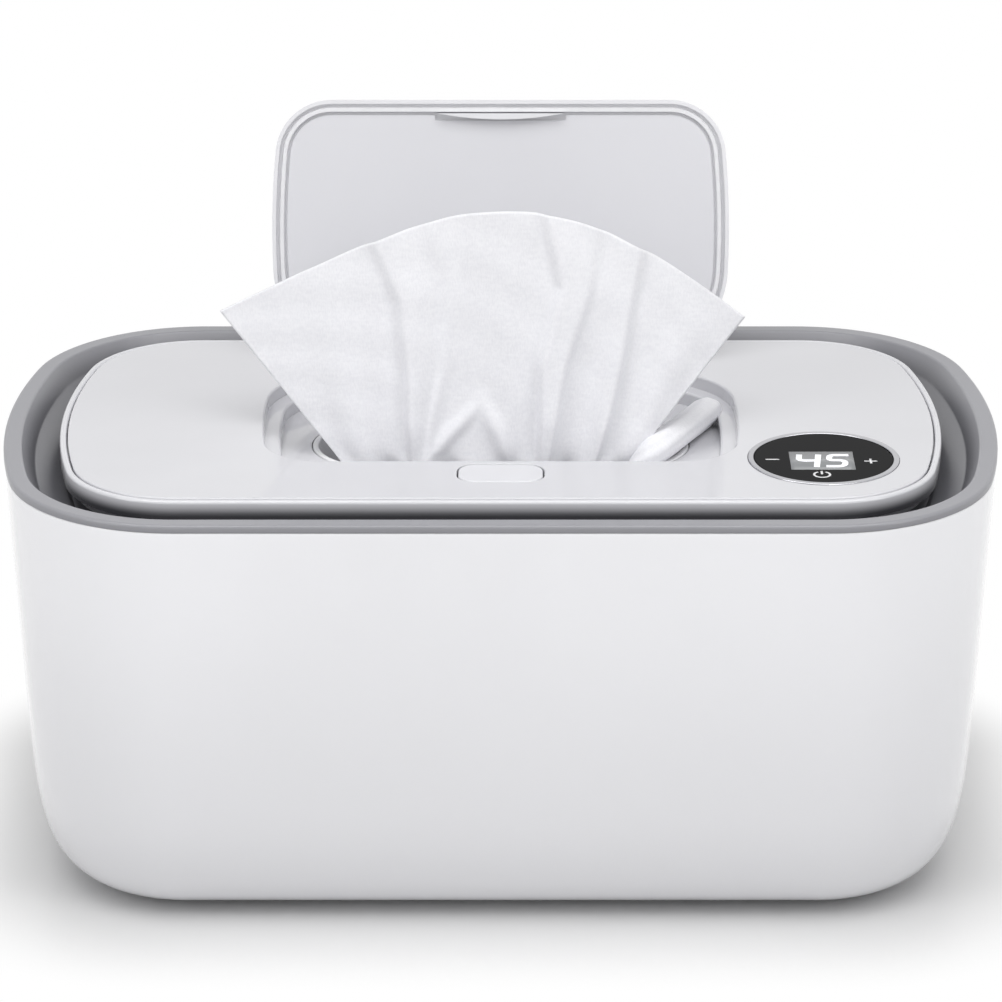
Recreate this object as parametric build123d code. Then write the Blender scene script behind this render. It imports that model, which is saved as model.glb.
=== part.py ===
from build123d import *
import math
import os

# Baby wipe warmer: a glossy white tub with a grey rim, a light grey lid that sits inside the rim
# with a finger channel all round it, a spring flip cover that closes flush in the lid, a catch
# button, a round touch display and a heated plate under the lid that warms the top of the stack.
# Millimetres. X runs left to right, -Y is the front, Z is up. The origin is the middle of the
# footprint on the table. The flip cover is drawn open, as it stands when a wipe is being taken.

# ---------------------------------------------------------------- driving dimensions
WIDTH = 250.0               # over the rim, left to right
DEPTH = 148.0               # over the rim, front to back
RIM_Z = 109.5               # top of the rim above the table
END_R = 190.0               # plan radius of the bowed ends
CORNER_R = 43.0             # plan radius of the corners
FOOT_H = 1.0                # the rubber feet stand out by this much
TUB_DRAFT = 0.0515          # inward lean of the tub wall, per unit of height
TUB_TURN = (34.4, 22.8, 3.0)    # height, run and power of the curve that turns the wall under the tub
SHELL_WALL = 2.4
SHELL_FLOOR = 3.0
LIP_H = 2.0                 # grey band seen above the white shell
RIM_LAND = 4.4              # flat top of the rim
LEDGE_Z = 100.5             # ledge in the rim that the lid's seal sits on
MOUTH_INSET = 24.0          # inner face of the rim's spigot, from the rim's outer line

LID_INSET = 14.0            # the lid's edge, from the rim's outer line
LID_Z = 110.5               # the lid's top face
PANEL_T = 2.2               # thickness of the lid's top panel
PLUG_INSET = 24.5           # outer face of the lid's plug, inside the spigot
PLUG_WALL = 1.8
TRAY_Z = 91.8               # underside of the lid's tray
TRAY_FLOOR = 2.0

RECESS_X, RECESS_Y = 59.8, 34.35    # half sizes of the recess that the flip cover closes into
RECESS_MID_Y = 2.15
RECESS_END_R = 220.0
RECESS_FRONT_R, RECESS_BACK_R = 15.0, 25.0
LEDGE_DEPTH = 3.4           # the recess's ledge, below the lid's top
LEDGE_W = 4.2
WELL_DEPTH = 7.0            # the recess's floor, below the lid's top
WELL_WALL = 1.8

COVER_GAP = 0.4             # between the closed flip cover and its recess
COVER_T = 1.6
LIP_CHORD, LIP_BOW = 33.0, 1.6      # crescent catch lip on the cover's inner face
LIP_Y = RECESS_MID_Y - RECESS_Y + COVER_GAP + 3.4
OPEN_DEG = 105.0            # the flip cover's travel
HINGE_Y, HINGE_Z = 38.8, 108.9
PIN_R = 1.0
BARREL_R = 2.0
BARREL_X = (12.0, 33.9)     # each hinge barrel, from and to, either side of the middle
EAR_X = (8.0, 11.6)         # the lid's two inner hinge ears
BAY_X = 34.3                # half length of the hinge bay
PIN_X = 39.0                # half length of the pin

BUTTON_SIZE = (20.8, 12.0, 4.5)     # across, deep and corner radius
BUTTON_Y = -40.6

DISPLAY = (79.8, -30.6)     # middle of the round display
LENS_R = 17.2
BEZEL_R = 18.7

SLOT_SIZE = (92.0, 33.0)    # the mouth that the wipes are drawn through
SLOT_WALL = 1.6
SLOT_Y = -2.0
WIPE_Y, WIPE_LEAN = -12.5, 7.125    # where the drawn wipe leaves the mouth, and how far it leans back

INLET_Z = 25.0              # height of the power inlet in the back wall
CONTACT_Y = 55.6            # the power contacts under the lid's back edge
CONTACT_X = 4.0
SCREW_X, SCREW_Y = 58.0, 24.0       # base screws
FOOT_X, FOOT_Y, FOOT_R = 79.0, 28.0, 7.0
LID_SCREWS = ((-54.0, 41.5), (54.0, 41.5), (-36.0, -42.0), (36.0, -42.0), (-88.0, 0.0), (88.0, 8.0))
BOARD_POSTS = ((65.5, -40.5), (84.0, -40.5), (65.5, -18.5), (91.0, -18.5))


# ---------------------------------------------------------------- shared forms
def outline(half_x, half_y, end_r, front_r, back_r, z, mid_y=0.0):
    """Closed plan line at height z: straight long sides, corner arcs and bowed ends, all tangent."""
    end_x = half_x - end_r

    def arc_points(side, back):
        corner_r = back_r if back > 0 else front_r
        rise = half_y - corner_r
        corner_x = end_x + math.sqrt((end_r - corner_r) ** 2 - rise ** 2)
        turn = math.asin(rise / (end_r - corner_r))
        half_turn = (math.pi / 2 + turn) / 2
        flat_end = Vector(side * corner_x, mid_y + back * half_y, z)
        middle = Vector(
            side * (corner_x + corner_r * math.cos(half_turn)),
            mid_y + back * (rise + corner_r * math.sin(half_turn)),
            z,
        )
        bow_end = Vector(side * (end_x + end_r * math.cos(turn)), mid_y + back * end_r * math.sin(turn), z)
        return flat_end, middle, bow_end

    right_front, right_back = arc_points(1, -1), arc_points(1, 1)
    left_front, left_back = arc_points(-1, -1), arc_points(-1, 1)
    edges = [
        Line(left_front[0], right_front[0]),
        ThreePointArc(*right_front),
        ThreePointArc(right_front[2], Vector(half_x, mid_y, z), right_back[2]),
        ThreePointArc(*reversed(right_back)),
        Line(right_back[0], left_back[0]),
        ThreePointArc(*left_back),
        ThreePointArc(left_back[2], Vector(-half_x, mid_y, z), left_front[2]),
        ThreePointArc(*reversed(left_front)),
    ]
    return Wire([edge.edge() for edge in edges])


def tub_line(inset, z):
    """The rim's outer line, drawn in by inset."""
    corner_r = CORNER_R - inset
    return outline(WIDTH / 2 - inset, DEPTH / 2 - inset, END_R - inset, corner_r, corner_r, z)


def recess_line(inset, z):
    """The flip cover's recess, drawn in by inset."""
    sizes = (RECESS_X, RECESS_Y, RECESS_END_R, RECESS_FRONT_R, RECESS_BACK_R)
    return outline(*(size - inset for size in sizes), z, RECESS_MID_Y)


def slab(line, low, high):
    """Solid between two levels of a plan line; low and high are (inset, z)."""
    return Part() + Solid.make_loft([line(*low), line(*high)], ruled=True)


def band(line, section):
    """Closed ring round a plan line; section lists its (inset, z) corners."""
    path = line(0, 0)
    start = path.edges()[0] @ 0
    corners = [Vector(start.X, start.Y + inset, z) for inset, z in section]
    return sweep(make_face(Polyline(*corners, close=True)), path=path)


def tub_form(wall, low_z, top_z, draft, turn):
    """Drafted tub of the rim's plan, whose wall turns under along a superellipse."""
    rise, run, power = turn
    levels = []
    for angle in range(90, -1, -15):
        theta = math.radians(angle)
        z = low_z + rise * (1 - math.sin(theta) ** (2 / power))
        inset = wall + run * (1 - math.cos(theta) ** (2 / power)) + draft * (RIM_Z - z)
        levels.append(tub_line(inset, z))
    top = tub_line(wall + draft * (RIM_Z - top_z), top_z)
    return Part() + Solid.make_loft(levels) + Solid.make_loft([levels[-1], top], ruled=True)


def block(x_range, y_range, z_range):
    """Box between two corners."""
    size = [high - low for low, high in (x_range, y_range, z_range)]
    middle = [(high + low) / 2 for low, high in (x_range, y_range, z_range)]
    return Pos(*middle) * Box(*size)


def post(x, y, radius, low_z, high_z):
    """Upright cylinder."""
    return Pos(x, y, (low_z + high_z) / 2) * Cylinder(radius, high_z - low_z)


def tube(x, y, outer_r, inner_r, low_z, high_z):
    """Upright tube."""
    return post(x, y, outer_r, low_z, high_z) - post(x, y, inner_r, low_z - 1, high_z + 1)


def slot_prism(across, deep, y, low_z, high_z):
    """Upright prism with half-round ends, long across the lid."""
    return Pos(0, y, low_z) * extrude(SlotOverall(across, deep), high_z - low_z)


def rounded_prism(across, deep, corner, y, low_z, high_z):
    """Upright prism with rounded corners, centred on x = 0."""
    return Pos(0, y, low_z) * extrude(RectangleRounded(across, deep, corner), high_z - low_z)


def hinge_rod(radius, x_low, x_high):
    """Cylinder on the flip cover's hinge line."""
    return Pos((x_low + x_high) / 2, HINGE_Y, HINGE_Z) * Rot(0, 90, 0) * Cylinder(radius, x_high - x_low)


def both_sides(make, x_low, x_high):
    """The same form either side of the middle."""
    return make(x_low, x_high) + make(-x_high, -x_low)


def top_edges(part, z):
    """Edges that lie wholly at height z."""
    return [edge for edge in part.edges() if abs(edge.bounding_box().min.Z - z) < 1e-4
            and abs(edge.bounding_box().max.Z - z) < 1e-4]


def edges_within(part, z, half_x, half_y):
    """Top edges that lie inside the given half sizes, round the middle of the recess."""
    found = []
    for edge in top_edges(part, z):
        box = edge.bounding_box()
        inside_x = max(abs(box.min.X), abs(box.max.X)) < half_x + 0.1
        inside_y = max(abs(box.min.Y - RECESS_MID_Y), abs(box.max.Y - RECESS_MID_Y)) < half_y + 0.1
        if inside_x and inside_y:
            found.append(edge)
    return found


def coil(radius, wire_r, pitch, length):
    """Round-wire coil that stands on the origin, along Z."""
    path = Helix(pitch, length, radius)
    section = Plane(origin=path @ 0, z_dir=path % 0) * Circle(wire_r)
    return sweep(section, path=path)


def opened(part):
    """Turns a piece of the closed flip cover to where it stands open."""
    to_hinge = Pos(0, HINGE_Y, HINGE_Z)
    return to_hinge * Rot(-OPEN_DEG, 0, 0) * to_hinge.inverse() * part


# ---------------------------------------------------------------- tub and base
def outer_shell():
    """White tub: drafted wall, turned-under bottom, an opening for the base cover, a hole for the inlet."""
    rise, run, power = TUB_TURN
    shell = tub_form(0, FOOT_H, RIM_Z - LIP_H, TUB_DRAFT, TUB_TURN)
    floor_z = FOOT_H + SHELL_FLOOR
    shell -= tub_form(SHELL_WALL, floor_z, RIM_Z - LIP_H, TUB_DRAFT, (rise - SHELL_FLOOR, run, power))
    shell -= slab(tub_line, (34.0, FOOT_H - 1), (34.0, FOOT_H + 2.05))
    shell -= slab(tub_line, (38.0, FOOT_H), (38.0, floor_z + 1))
    shell -= Pos(0, DEPTH / 2, INLET_Z) * Rot(90, 0, 0) * Cylinder(4.1, 30)
    return shell


def rim_collar():
    """Grey rim: flat land, sloping inner wall, finger channel, seal ledge and a spigot into the tank."""
    lip_z = RIM_Z - LIP_H
    collar = band(tub_line, [
        (0, lip_z), (0, RIM_Z), (RIM_LAND, RIM_Z), (7.6, RIM_Z - 5), (15, LEDGE_Z + 0.8), (16, LEDGE_Z),
        (MOUTH_INSET, LEDGE_Z), (MOUTH_INSET, 94), (22.2, 94), (22.2, 98.7), (15.4, 98.7), (14.2, 99.5),
        (6.6, 102.8), (5.0, 102.8), (5.0, 99.5), (3.2, 99.5), (3.2, lip_z),
    ])
    collar = fillet(top_edges(collar, RIM_Z), 0.8)
    for x in (-78.5, 78.5):
        collar += block((x - 1.0, x + 1.0), (-69.9, -68.4), (RIM_Z - 4, RIM_Z - 0.5))
    collar -= block((-7.2, 7.2), (54.0, 57.3), (98, LEDGE_Z + 1))
    return collar


def inner_tank():
    """Wipe tank: drafted walls under the rim's spigot, four screw bosses below its floor."""
    turn = (18.0, 9.0, 2.4)
    draft = 0.03
    top_z = 98.6
    lean = draft * (RIM_Z - top_z)
    tank = tub_form(20.1 - lean, 9.0, top_z, draft, turn)
    tank -= tub_form(21.9 - lean, 11.0, top_z + 1, draft, (turn[0] - 2, turn[1], turn[2]))
    for x, y in base_screw_places():
        tank += tube(x, y, 3.6, 1.55, 4.4, 9.5)
    return tank


def base_screw_places():
    return [(x, y) for x in (-SCREW_X, SCREW_X) for y in (-SCREW_Y, SCREW_Y)]


def foot_places():
    return [(x, y) for x in (-FOOT_X, FOOT_X) for y in (-FOOT_Y, FOOT_Y)]


def base_cover():
    """Bottom plate, flush with the tub, with foot pockets, screw bosses and stiffening ribs."""
    cover = slab(tub_line, (34.3, FOOT_H), (34.3, FOOT_H + 2))
    for y in (-12, 12):
        cover += block((-70, 70), (y - 0.8, y + 0.8), (FOOT_H + 1.5, FOOT_H + 3.5))
    for x, y in base_screw_places():
        cover += post(x, y, 5.0, FOOT_H + 1, 4.3)
        cover -= post(x, y, 3.2, FOOT_H - 1, 2.9)
        cover -= post(x, y, 1.7, 0, 6)
    for x, y in foot_places():
        cover -= post(x, y, FOOT_R + 0.2, FOOT_H - 1, FOOT_H + 1.2)
    return cover


def base_screws():
    """Four screws up through the base cover into the tank."""
    screws = Part()
    for x, y in base_screw_places():
        cross = Pos(x, y, 1.4) * (Box(3.6, 0.8, 1.2) + Box(0.8, 3.6, 1.2))
        head = post(x, y, 2.9, 1.4, 2.9) - cross
        screws += head + post(x, y, 1.5, 2.8, 8.8)
    return screws


def rubber_feet():
    """Four round feet in the base cover's pockets."""
    feet = Part()
    for x, y in foot_places():
        foot = post(x, y, FOOT_R, 0, FOOT_H + 1.2)
        feet += chamfer(foot.edges().sort_by(Axis.Z)[0], 0.5)
    return feet


def dc_inlet():
    """Moulded power socket behind the back wall, its nose in the wall's hole."""
    inlet = block((-4.6, 4.6), (52.0, 65.8), (INLET_Z - 4.5, INLET_Z + 4.5))
    inlet += Pos(0, 67.5, INLET_Z) * Rot(90, 0, 0) * Cylinder(3.9, 3.4)
    inlet -= Pos(0, 64.6, INLET_Z) * Rot(90, 0, 0) * Cylinder(2.85, 10)
    return inlet


def inlet_contacts():
    """The socket's centre pin and its two solder tabs."""
    pin = Pos(0, 63.8, INLET_Z) * Rot(90, 0, 0) * Cylinder(1.0, 8.4)
    tabs = [block((x - 0.9, x + 0.9), (55.0, 56.2), (INLET_Z + 4.5, INLET_Z + 7.5)) for x in (-2.4, 2.4)]
    return Part() + pin + tabs


def inlet_leads():
    """Two leads, straight up the gap behind the tank from the inlet to the contact block."""
    return Part() + [post(x, CONTACT_Y, 0.8, INLET_Z + 7.5, 98.6) for x in (-2.4, 2.4)]


def contact_block():
    """Insulating block in the ledge under the lid's back edge."""
    holder = block((-7.0, 7.0), (54.1, 57.1), (98.6, 101.0))
    for x in (-CONTACT_X, CONTACT_X):
        holder -= post(x, CONTACT_Y, 0.95, 98, 102)
    return holder


def contact_pins():
    """Two sprung power pins that meet the lid's pads."""
    return Part() + [post(x, CONTACT_Y, 0.9, 98.8, 102.0) for x in (-CONTACT_X, CONTACT_X)]


# ---------------------------------------------------------------- lid
def lid_frame():
    """Rounded outer band of the lid, with the shelf that the top panel drops onto."""
    edge = LID_INSET
    frame = band(tub_line, [
        (edge, 105.4), (edge, 110.4), (edge + 1.75, 110.4), (edge + 1.75, 108.2), (edge + 5, 108.2),
        (edge + 5, 106.3), (edge + 1.9, 106.3), (edge + 1.9, 105.4),
    ])
    return fillet(top_edges(frame, 110.4), 0.8)


def lid_top_panel():
    """Glossy top panel with the flip cover's recess, hinge bay, button guide, display seat and bosses."""
    under = LID_Z - PANEL_T
    well_z = LID_Z - WELL_DEPTH
    ledge_z = LID_Z - LEDGE_DEPTH
    step_z = ledge_z - WELL_WALL
    panel = slab(tub_line, (LID_INSET + 2.0, under), (LID_INSET + 2.0, LID_Z))
    panel = fillet(top_edges(panel, LID_Z), 0.5)
    panel += slab(recess_line, (-WELL_WALL, step_z), (-WELL_WALL, under + 0.1))
    panel += slab(recess_line, (LEDGE_W - WELL_WALL, well_z - 1.6), (LEDGE_W - WELL_WALL, step_z + 0.1))
    panel += block((-BAY_X - 6.7, BAY_X + 6.7), (33, HINGE_Y + 4.6), (104.6, under + 0.1))
    panel += rounded_prism(25.0, 16.2, 6.0, BUTTON_Y, 104.5, under + 0.1)
    for x, y in LID_SCREWS:
        panel += post(x, y, 3.0, TRAY_Z + TRAY_FLOOR + 0.1, under + 0.1)
        panel -= post(x, y, 1.25, TRAY_Z, 106)
    panel -= slab(recess_line, (0, ledge_z), (0, LID_Z + 1))
    panel = fillet(edges_within(panel, LID_Z, RECESS_X, RECESS_Y), 0.6)
    panel -= slab(recess_line, (LEDGE_W, well_z), (LEDGE_W, ledge_z + 0.5))
    panel = fillet(edges_within(panel, ledge_z, RECESS_X - LEDGE_W, RECESS_Y - LEDGE_W), 0.7)
    panel -= block((-BAY_X, BAY_X), (30, HINGE_Y + BARREL_R + 0.4), (HINGE_Z - 2.5, LID_Z + 1))
    for low, high in (EAR_X, (-EAR_X[1], -EAR_X[0])):
        panel += block((low, high), (HINGE_Y - 1.5, HINGE_Y + 1.5), (HINGE_Z - 2.6, HINGE_Z))
        panel += hinge_rod(1.9, low, high)
    panel -= hinge_rod(PIN_R + 0.02, -PIN_X - 0.1, PIN_X + 0.1)
    across, deep, corner = BUTTON_SIZE
    panel -= rounded_prism(across + 0.7, deep + 0.7, corner + 0.35, BUTTON_Y, 100, LID_Z + 1)
    panel = fillet([e for e in top_edges(panel, LID_Z) if abs(e.center().X) < 11 and e.center().Y < -34], 0.3)
    panel -= block((-17.5, 17.5), (-29.0, -26.0), (105.2, ledge_z + 0.5))
    panel -= block((-5.2, 5.2), (-34.5, -27.9), (well_z - 1.5, 105.6))
    panel -= post(*DISPLAY, LENS_R + 0.3, under - 1, LID_Z + 1)
    panel -= post(*DISPLAY, BEZEL_R + 0.15, LID_Z - 1, LID_Z + 1)
    panel -= slot_prism(SLOT_SIZE[0] + 3.8, SLOT_SIZE[1] + 3.8, SLOT_Y, well_z - 3, well_z + 1)
    return panel


def lid_tray():
    """Grey lower half: undercut edge, flange over the seal, plug into the spigot, posts and cups inside."""
    inner = PLUG_INSET + PLUG_WALL
    floor_top = TRAY_Z + TRAY_FLOOR
    tray = band(tub_line, [
        (16.2, 106.2), (16.2, 104.6), (17.0, 102.5), (PLUG_INSET, 102.5), (PLUG_INSET, TRAY_Z),
        (inner, TRAY_Z), (inner, 104.3), (18.0, 104.3), (18.0, 106.2),
    ])
    tray += slab(tub_line, (inner - 0.5, TRAY_Z), (inner - 0.5, floor_top))
    for x, y in BOARD_POSTS:
        tray += tube(x, y, 2.2, 0.9, floor_top - 0.1, 100.2)
    tray += tube(0, BUTTON_Y, 4.6, 3.5, floor_top - 0.1, floor_top + 2.5)
    for x, y in LID_SCREWS:
        tray -= post(x, y, 2.9, TRAY_Z - 1, TRAY_Z + 1.2)
        tray -= post(x, y, 1.4, TRAY_Z - 1, floor_top + 1)
    tray -= slot_prism(SLOT_SIZE[0] + 3.8, SLOT_SIZE[1] + 3.8, SLOT_Y, TRAY_Z - 1, floor_top + 1)
    tray -= block((-76.3, -63.7), (6.2, 13.8), (TRAY_Z - 1, floor_top + 1))
    tray -= post(-70, -15, 2.3, TRAY_Z - 1, floor_top + 1)
    for x in (-CONTACT_X, CONTACT_X):
        tray -= post(x, CONTACT_Y, 1.5, 102, 103)
    return tray


def lid_seal():
    """Silicone ring under the lid's flange, lying on the rim's ledge."""
    return band(tub_line, [(21.6, LEDGE_Z), (22.8, LEDGE_Z), (23.4, 102.5), (21.0, 102.5)])


def lid_screws():
    """Six screws up through the tray into the top panel's bosses."""
    screws = Part()
    for x, y in LID_SCREWS:
        head = post(x, y, 2.6, TRAY_Z + 0.1, TRAY_Z + 1.2) - Pos(x, y, TRAY_Z) * Box(3.2, 0.7, 1.2)
        screws += head + post(x, y, 1.2, TRAY_Z + 1.1, 103)
    return screws


def dispensing_insert():
    """White mouth that the wipes are drawn through: flange up under the recess's floor, neck to the tank."""
    across, deep = SLOT_SIZE
    top_z = LID_Z - WELL_DEPTH + 0.3
    flange_z = LID_Z - WELL_DEPTH - 1.6
    mouth = slot_prism(across + 2 * SLOT_WALL, deep + 2 * SLOT_WALL, SLOT_Y, 89.0, top_z)
    mouth += slot_prism(across + 11, deep + 11, SLOT_Y, flange_z - 1.4, flange_z)
    mouth -= slot_prism(across, deep, SLOT_Y, 88, top_z + 1)
    return fillet(top_edges(mouth, top_z), 0.5)


def heater_plate():
    """Aluminium plate under the tray that warms the top of the stack."""
    plate = slab(tub_line, (29.0, 90.0), (29.0, 91.5))
    plate -= slot_prism(SLOT_SIZE[0] + 4.2, SLOT_SIZE[1] + 4.2, SLOT_Y, 89, 92)
    return plate


def heater_film():
    """Thin heating film between the plate and the tray."""
    film = slab(tub_line, (30.0, 91.5), (30.0, TRAY_Z))
    return film - slot_prism(SLOT_SIZE[0] + 8, SLOT_SIZE[1] + 8, SLOT_Y, 91, 92)


def thermal_cutout():
    """Over-temperature switch that sits on the film through a window in the tray."""
    return block((-76, -64), (6.5, 13.5), (TRAY_Z, TRAY_Z + 4.5))


def temperature_sensor():
    """Thermistor bead in its clip on the film."""
    return post(-70, -15, 2.0, TRAY_Z, TRAY_Z + 3.5)


def hinge_pin():
    """Steel pin through the lid's ears and the flip cover's barrels."""
    return hinge_rod(PIN_R, -PIN_X, PIN_X)


def hinge_spring():
    """Torsion spring round the pin that throws the flip cover open."""
    length, mean_r, wire_r = 7.0, 1.65, 0.3
    winding = Pos(-length / 2, HINGE_Y, HINGE_Z) * Rot(0, 90, 0) * coil(mean_r, wire_r, 1.0, length)
    low_leg = Pos(-length / 2, HINGE_Y - 2, HINGE_Z - mean_r) * Rot(90, 0, 0) * Cylinder(wire_r, 4.0)
    high_leg = Pos(length / 2, HINGE_Y - mean_r, HINGE_Z + 2.5) * Cylinder(wire_r, 5.0)
    return winding + low_leg + high_leg


def display_bezel():
    """Thin ring round the display lens."""
    ring = tube(*DISPLAY, BEZEL_R, LENS_R + 0.1, LID_Z - 1, LID_Z + 0.3)
    return fillet(top_edges(ring, LID_Z + 0.3), 0.25)


def display_lens():
    """Black gloss lens, touched on its symbols."""
    lens = post(*DISPLAY, LENS_R, LID_Z - 1.4, LID_Z + 0.1)
    return fillet(top_edges(lens, LID_Z + 0.1), 0.3)


def display_module():
    """Two-digit display block on the board, under the lens."""
    x, y = DISPLAY
    return block((x - 10, x + 9.5), (y - 5, y + 6), (101.8, LID_Z - 1.5))


def control_board():
    """Printed board on the tray's posts, its front corner cut to clear the plug wall."""
    board = block((62.8, 94.0), (-43.5, -15.5), (100.2, 101.8))
    corner = [e for e in board.edges().filter_by(Axis.Z) if e.center().X > 90 and e.center().Y < -40]
    board = chamfer(corner, 8.0)
    for x, y in BOARD_POSTS:
        board -= post(x, y, 1.2, 99, 103)
    return board


def board_screws():
    """Four small screws that hold the board on its posts."""
    screws = Part()
    for x, y in BOARD_POSTS:
        screws += post(x, y, 1.9, 101.8, 103.0) + post(x, y, 0.85, 95.0, 101.9)
    return screws


def touch_springs():
    """Contact springs from the board up to the lens, one under each touch symbol."""
    x, y = DISPLAY
    springs = Part()
    for dx, dy in ((-13.2, 0), (11.6, -1), (-1, -9.5)):
        springs += tube(x + dx, y + dy, 1.8, 1.1, 101.8, LID_Z - 1.5)
    return springs


def contact_pads():
    """Two brass pads in the lid's flange, over the power pins."""
    return Part() + [post(x, CONTACT_Y, 1.4, 102.3, 103.0) for x in (-CONTACT_X, CONTACT_X)]


def wipe_sheet():
    """The wipe drawn up through the mouth, as a plain fan-shaped solid that leans back."""
    right = [(32, -17), (35, 0), (38.8, 7.8), (61, 36.8), (47.2, 47.2), (29.7, 57.6), (14.8, 63.1)]
    left = [(0, 64.4), (-15, 62.1), (-31.2, 56.4), (-70, 39.1), (-40.3, 0), (-36, -17)]
    fan = make_face(Polyline(*[Vector(x, 0, rise) for x, rise in right + left], close=True))
    sheet = extrude(fan, amount=1.0, dir=(0, 1, 0))
    return Pos(0, WIPE_Y, LID_Z - WELL_DEPTH) * Rot(-WIPE_LEAN, 0, 0) * sheet


# ---------------------------------------------------------------- flip cover
def flip_cover():
    """Cover plate with its edge wall, the crescent catch lip and two hinge barrels."""
    plate = slab(recess_line, (COVER_GAP, LID_Z - COVER_T), (COVER_GAP, LID_Z))
    plate = fillet(top_edges(plate, LID_Z), 0.6)
    plate += band(recess_line, [
        (COVER_GAP, LID_Z - 2.9), (COVER_GAP + 1.0, LID_Z - 2.9),
        (COVER_GAP + 1.0, LID_Z - COVER_T + 0.1), (COVER_GAP, LID_Z - COVER_T + 0.1),
    ])
    plate += catch_lip()
    plate += both_sides(hinge_arm, BARREL_X[0] + 1, BARREL_X[1] - 0.9)
    plate += both_sides(lambda low, high: hinge_rod(BARREL_R, low, high), *BARREL_X)
    bore_ends = (BARREL_X[0] - 1, BARREL_X[1] + 1)
    plate -= both_sides(lambda low, high: hinge_rod(PIN_R + 0.05, low, high), *bore_ends)
    return opened(plate)


def hinge_arm(x_low, x_high):
    """Web from the plate's back edge to a barrel."""
    return block((x_low, x_high), (RECESS_MID_Y + RECESS_Y - 2, HINGE_Y), (HINGE_Z - 0.6, HINGE_Z + 1.4))


def catch_lip():
    """Crescent on the inner face near the free edge: a flat front, bowed back in the middle."""
    radius = (LIP_CHORD ** 2 / 4 + LIP_BOW ** 2) / (2 * LIP_BOW)
    disc = post(0, LIP_Y + LIP_BOW - radius, radius, 105.9, LID_Z - COVER_T + 0.1)
    return disc & block((-20, 20), (LIP_Y, LIP_Y + 5), (105, LID_Z))


def cover_seal():
    """Soft sealing ridge round the inner face."""
    low, high = LID_Z - 3.1, LID_Z - COVER_T
    ridge = band(recess_line, [
        (COVER_GAP + 1.8, high), (COVER_GAP + 2.1, low), (COVER_GAP + 3.0, low), (COVER_GAP + 3.4, high),
    ])
    return opened(ridge)


def cover_liner():
    """Inner panel of the cover, notched round the catch lip."""
    inset = COVER_GAP + 3.9
    liner = slab(recess_line, (inset, LID_Z - COVER_T - 0.8), (inset, LID_Z - COVER_T))
    liner -= block((-17, 17), (LIP_Y - 1, LIP_Y + 1.9), (105, LID_Z))
    return opened(liner)


# ---------------------------------------------------------------- catch button
def latch_button():
    """Hollow button with two ears that keep it in its guide, a spring post and the catch hook."""
    across, deep, corner = BUTTON_SIZE
    low_z, roof_z = 103.6, LID_Z - 1.6
    button = rounded_prism(across, deep, corner, BUTTON_Y, low_z - 1.2, LID_Z)
    button = fillet(top_edges(button, LID_Z), 0.5)
    button -= rounded_prism(across - 3, deep - 3, corner - 1.5, BUTTON_Y, low_z - 2, roof_z)
    for side in (-1, 1):
        x_range = sorted((side * (across / 2 - 1), side * (across / 2 + 1.6)))
        button += block(x_range, (BUTTON_Y - 4, BUTTON_Y + 4), (low_z - 1.2, low_z))
    button += post(0, BUTTON_Y, 1.8, 100.5, roof_z + 0.1)
    button += block((-4.5, 4.5), (BUTTON_Y + deep / 2 - 1, -29.4), (low_z + 0.2, low_z + 1.4))
    return button


def button_spring():
    """Compression spring between the tray's cup and the button."""
    low_z, high_z, wire_r = TRAY_Z + TRAY_FLOOR, LID_Z - 1.6, 0.3
    winding = coil(2.5, wire_r, 2.2, high_z - low_z - 2 * wire_r)
    return Pos(0, BUTTON_Y, low_z + wire_r) * winding


PIECES = (
    outer_shell, rim_collar, inner_tank, base_cover, base_screws, rubber_feet, dc_inlet, inlet_contacts,
    inlet_leads, contact_block, contact_pins, lid_frame, lid_top_panel, lid_tray, lid_seal, lid_screws,
    dispensing_insert, heater_plate, heater_film, thermal_cutout, temperature_sensor, hinge_pin,
    hinge_spring, display_bezel, display_lens, display_module, control_board, board_screws, touch_springs,
    contact_pads, wipe_sheet, flip_cover, cover_seal, cover_liner, latch_button, button_spring,
)

os.makedirs("parts", exist_ok=True)
for piece in PIECES:
    export_step(piece(), f"parts/{piece.__name__}.step")
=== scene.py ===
import bmesh
import bpy
import math
import numpy as np
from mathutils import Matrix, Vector


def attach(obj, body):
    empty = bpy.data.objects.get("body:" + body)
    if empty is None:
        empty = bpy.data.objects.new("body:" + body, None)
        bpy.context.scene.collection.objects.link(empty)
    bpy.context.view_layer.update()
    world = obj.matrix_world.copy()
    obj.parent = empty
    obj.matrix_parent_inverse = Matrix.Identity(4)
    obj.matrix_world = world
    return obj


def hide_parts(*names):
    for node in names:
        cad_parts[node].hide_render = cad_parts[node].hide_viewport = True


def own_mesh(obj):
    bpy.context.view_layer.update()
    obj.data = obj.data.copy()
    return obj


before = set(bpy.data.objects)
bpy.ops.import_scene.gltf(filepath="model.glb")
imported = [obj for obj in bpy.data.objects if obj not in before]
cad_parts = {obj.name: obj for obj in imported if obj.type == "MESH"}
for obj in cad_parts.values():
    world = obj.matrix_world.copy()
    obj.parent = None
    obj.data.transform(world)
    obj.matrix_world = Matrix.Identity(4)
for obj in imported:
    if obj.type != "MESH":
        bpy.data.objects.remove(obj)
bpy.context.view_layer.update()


# ---------------------------------------------------------------- camera
# It stands 1.18 m off, square to the front, and looks down on the warmer by 20 degrees, as the
# photograph does. Its long lens keeps the sides of the tub nearly parallel.
front_lens = bpy.data.cameras.new("front_view")
front_lens.sensor_fit = "HORIZONTAL"
front_lens.sensor_width = 36.0
front_lens.lens = 167.1
front_lens.clip_start = 0.02
front_view = bpy.data.objects.new("front_view", front_lens)
front_view.location = (0.0001, -1.1073, 0.5122)
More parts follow.
